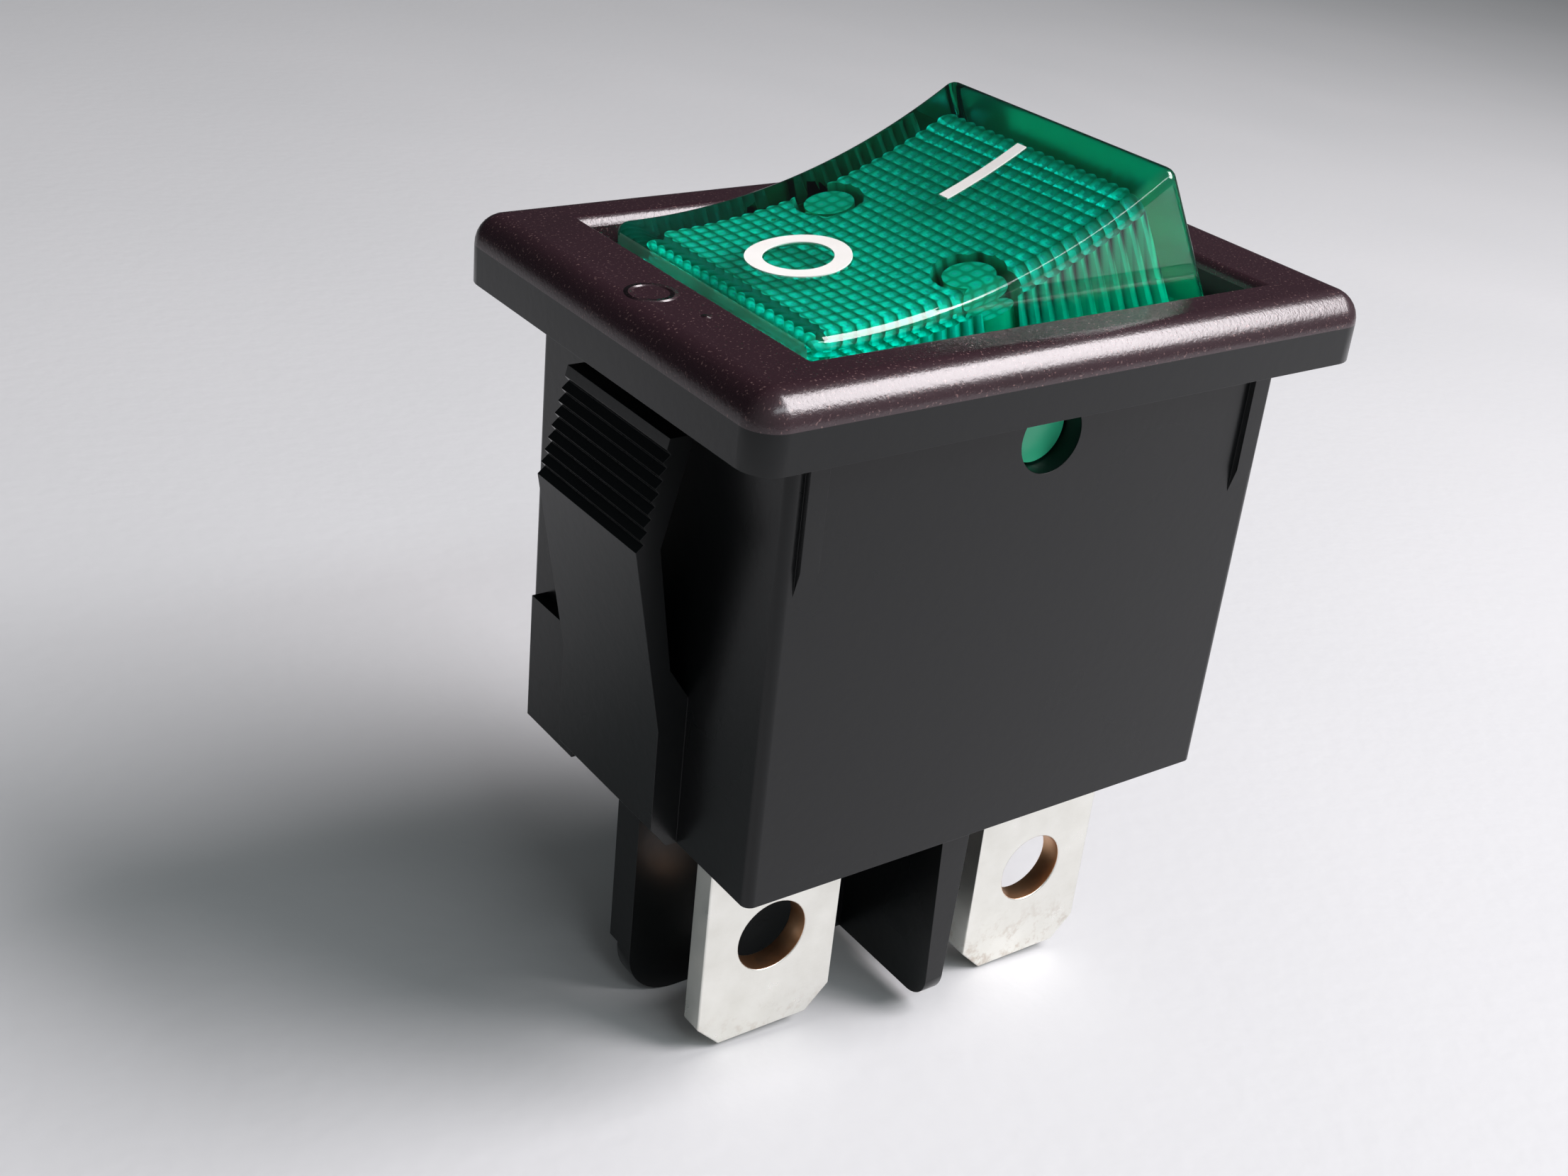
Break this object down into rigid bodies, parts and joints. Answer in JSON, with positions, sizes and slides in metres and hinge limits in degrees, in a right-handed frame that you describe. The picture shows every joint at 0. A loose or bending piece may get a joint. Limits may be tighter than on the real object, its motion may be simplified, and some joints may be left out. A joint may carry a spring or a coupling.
{
  "type": "panel rocker switch",
  "caption": "Two-pole panel rocker switch with a lit translucent rocker, a black snap-in body with toothed spring arms, and flat blade terminals.",
  "frame": {"origin": "centre of the bezel's underside, which lies on the panel's front face", "axes": "+X along the switch towards the end marked I, which stands up when the switch is off; -Y is the front long side; +Z out of the panel"},
  "size_m": [0.021, 0.015, 0.0272],
  "materials": {
    "housing_plastic": "satin black moulding with a fine grain on the bezel",
    "rocker_plastic": "clear green, polished",
    "mark_plastic": "white",
    "tin_plate": "satin tin plate on brass",
    "copper": "bare copper alloy",
    "contact_silver": "silver",
    "steel": "plain",
    "lead_wire": "copper-clad wire",
    "lamp_glass": "clear",
    "resistor_body": "lacquered"
  },
  "bodies": {
    "housing": {"housing": "housing_plastic", "front_line_terminal": "tin_plate", "front_load_terminal": "tin_plate", "rear_line_terminal": "tin_plate", "rear_load_terminal": "tin_plate", "front_fixed_contact": "contact_silver", "rear_fixed_contact": "contact_silver"},
    "rocker": {"rocker": "rocker_plastic", "off_mark": "mark_plastic", "on_mark": "mark_plastic", "front_spring": "steel", "rear_spring": "steel", "lamp_glass": "lamp_glass", "front_electrode": "steel", "rear_electrode": "steel", "front_lead": "lead_wire", "rear_lead": "lead_wire", "resistor": "resistor_body", "resistor_lead": "lead_wire"},
    "front_contact": {"front_contact_bar": "copper", "front_moving_contact": "contact_silver"},
    "rear_contact": {"rear_contact_bar": "copper", "rear_moving_contact": "contact_silver"},
    "front_plunger": {"front_plunger": "steel"},
    "rear_plunger": {"rear_plunger": "steel"}
  },
  "joints": [
    {"name": "rocker_tilt", "type": "hinge", "parent": "housing", "child": "rocker", "pos_m": [0, 0, -0.00115], "axis": [0, 1, 0], "range_deg": [0, 32]},
    {"name": "front_contact_tilt", "type": "hinge", "parent": "housing", "child": "front_contact", "pos_m": [0, -0.0032, -0.00787], "axis": [0, 1, 0], "range_deg": [-10, 0]},
    {"name": "rear_contact_tilt", "type": "hinge", "parent": "housing", "child": "rear_contact", "pos_m": [0, 0.0032, -0.00787], "axis": [0, 1, 0], "range_deg": [-10, 0]},
    {"name": "front_plunger_slide", "type": "slide", "parent": "rocker", "child": "front_plunger", "axis": [-0.2756, 0, 0.9613], "range_m": [0, 0.0007], "stiffness_N_per_m": 300, "springref_m": -0.002, "deforming": ["front_spring"]},
    {"name": "rear_plunger_slide", "type": "slide", "parent": "rocker", "child": "rear_plunger", "axis": [-0.2756, 0, 0.9613], "range_m": [0, 0.0007], "stiffness_N_per_m": 300, "springref_m": -0.002, "deforming": ["rear_spring"]}
  ],
  "couplings": [
    {"joint": "front_contact_tilt", "follows": "rocker_tilt", "ratio": -0.3125},
    {"joint": "rear_contact_tilt", "follows": "rocker_tilt", "ratio": -0.3125}
  ]
}
